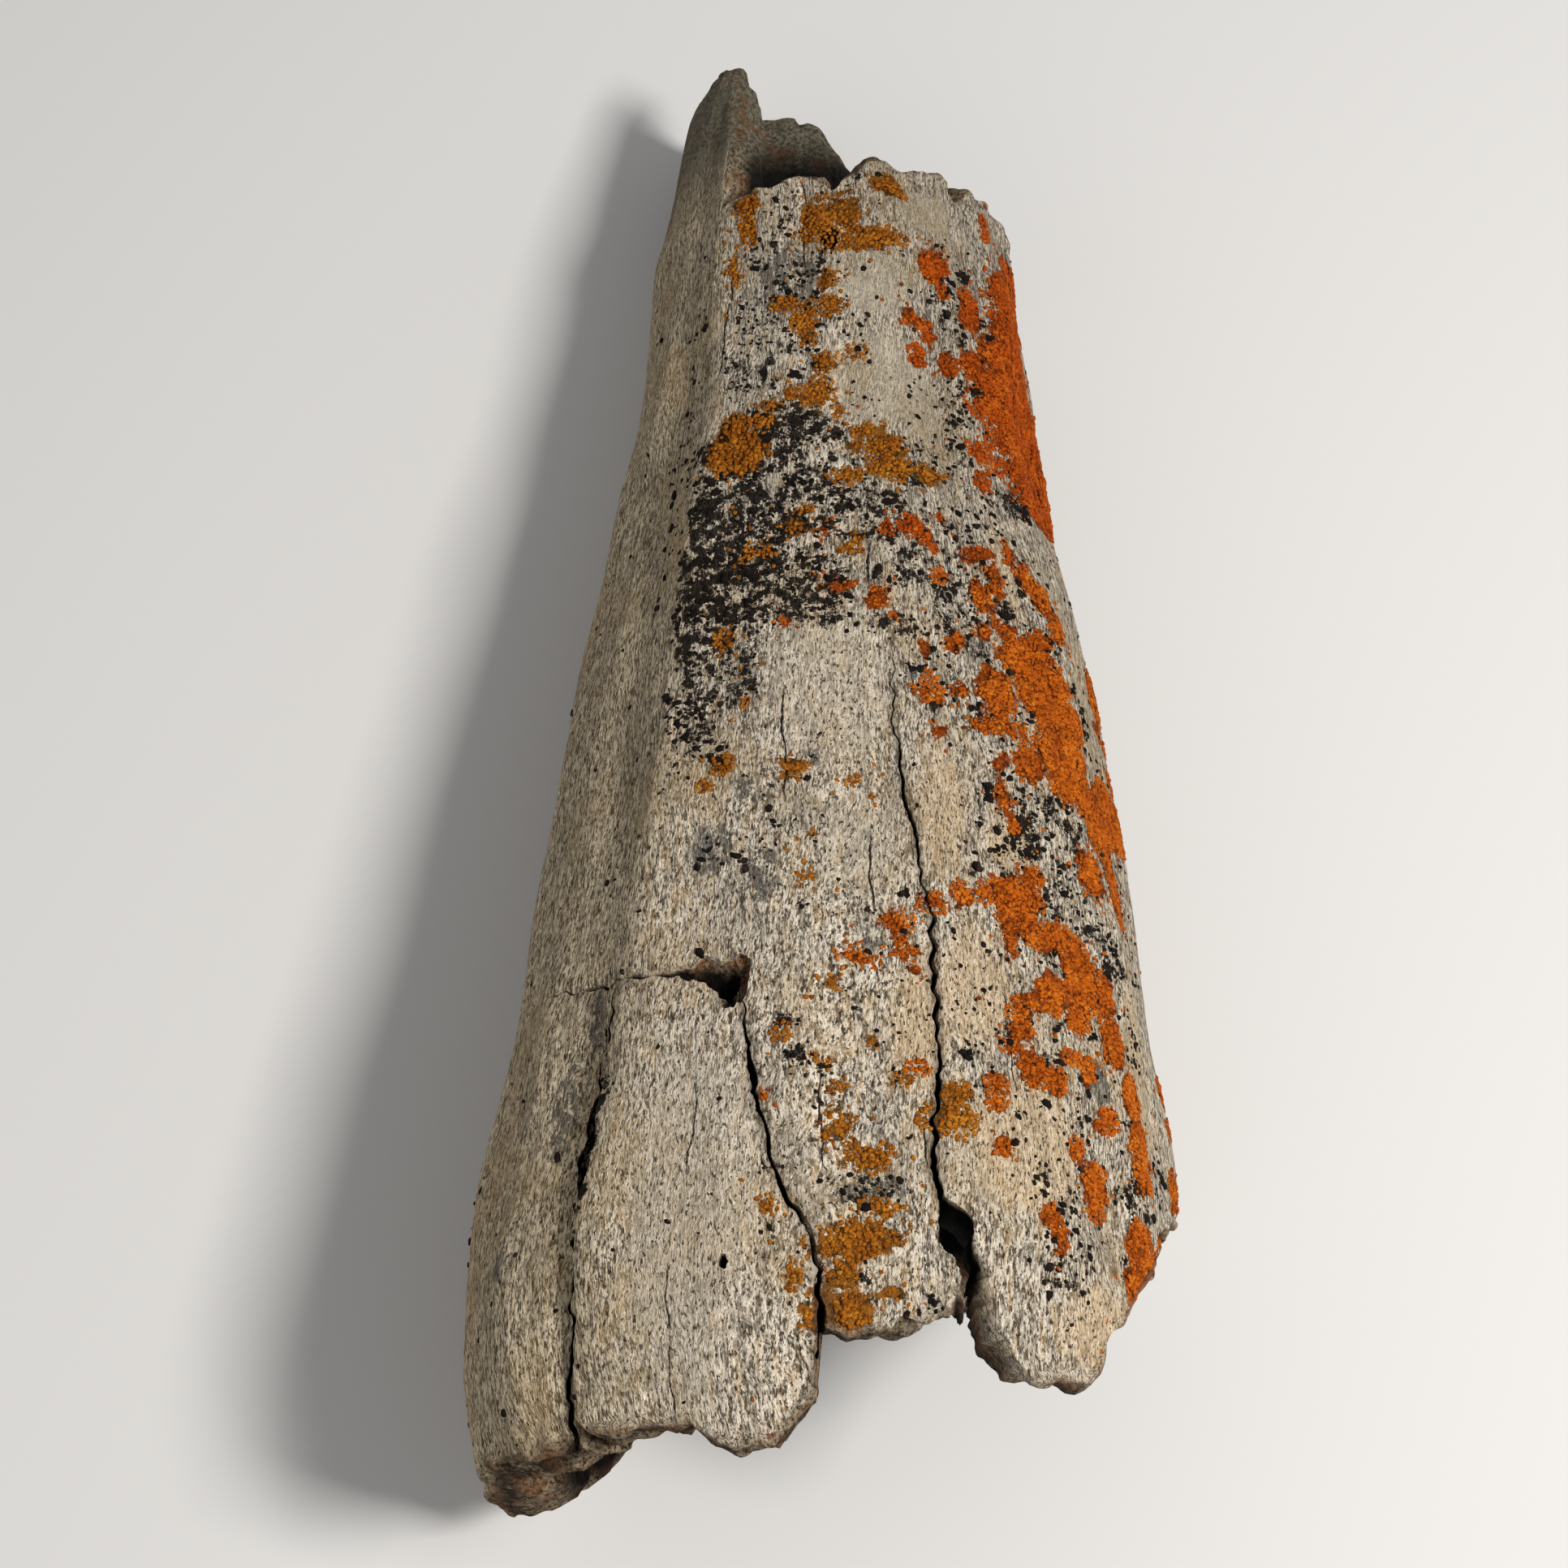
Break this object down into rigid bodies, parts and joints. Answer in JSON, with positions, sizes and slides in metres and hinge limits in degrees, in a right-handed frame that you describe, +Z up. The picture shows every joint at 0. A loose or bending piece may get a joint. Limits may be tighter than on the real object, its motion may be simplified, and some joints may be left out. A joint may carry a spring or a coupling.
{
  "type": "fossil triceratops horn",
  "caption": "Broken length of a triceratops brow horn core, hollow at its ragged base, cracked lengthwise and patched with orange and black lichen.",
  "frame": {"origin": "centre of the flat worn underside that the horn rests on", "axes": "+Y along the horn from the wide open base to the narrow broken tip, +Z up as it lies, +X to its right"},
  "size_m": [0.1051, 0.255, 0.0824],
  "materials": {
    "fossil_bone": "rough weathered fossil bone, pale grey-cream with dark pits, cracks and patches of lichen crust"
  },
  "bodies": {
    "root": {"horn": "fossil_bone"}
  },
  "joints": []
}
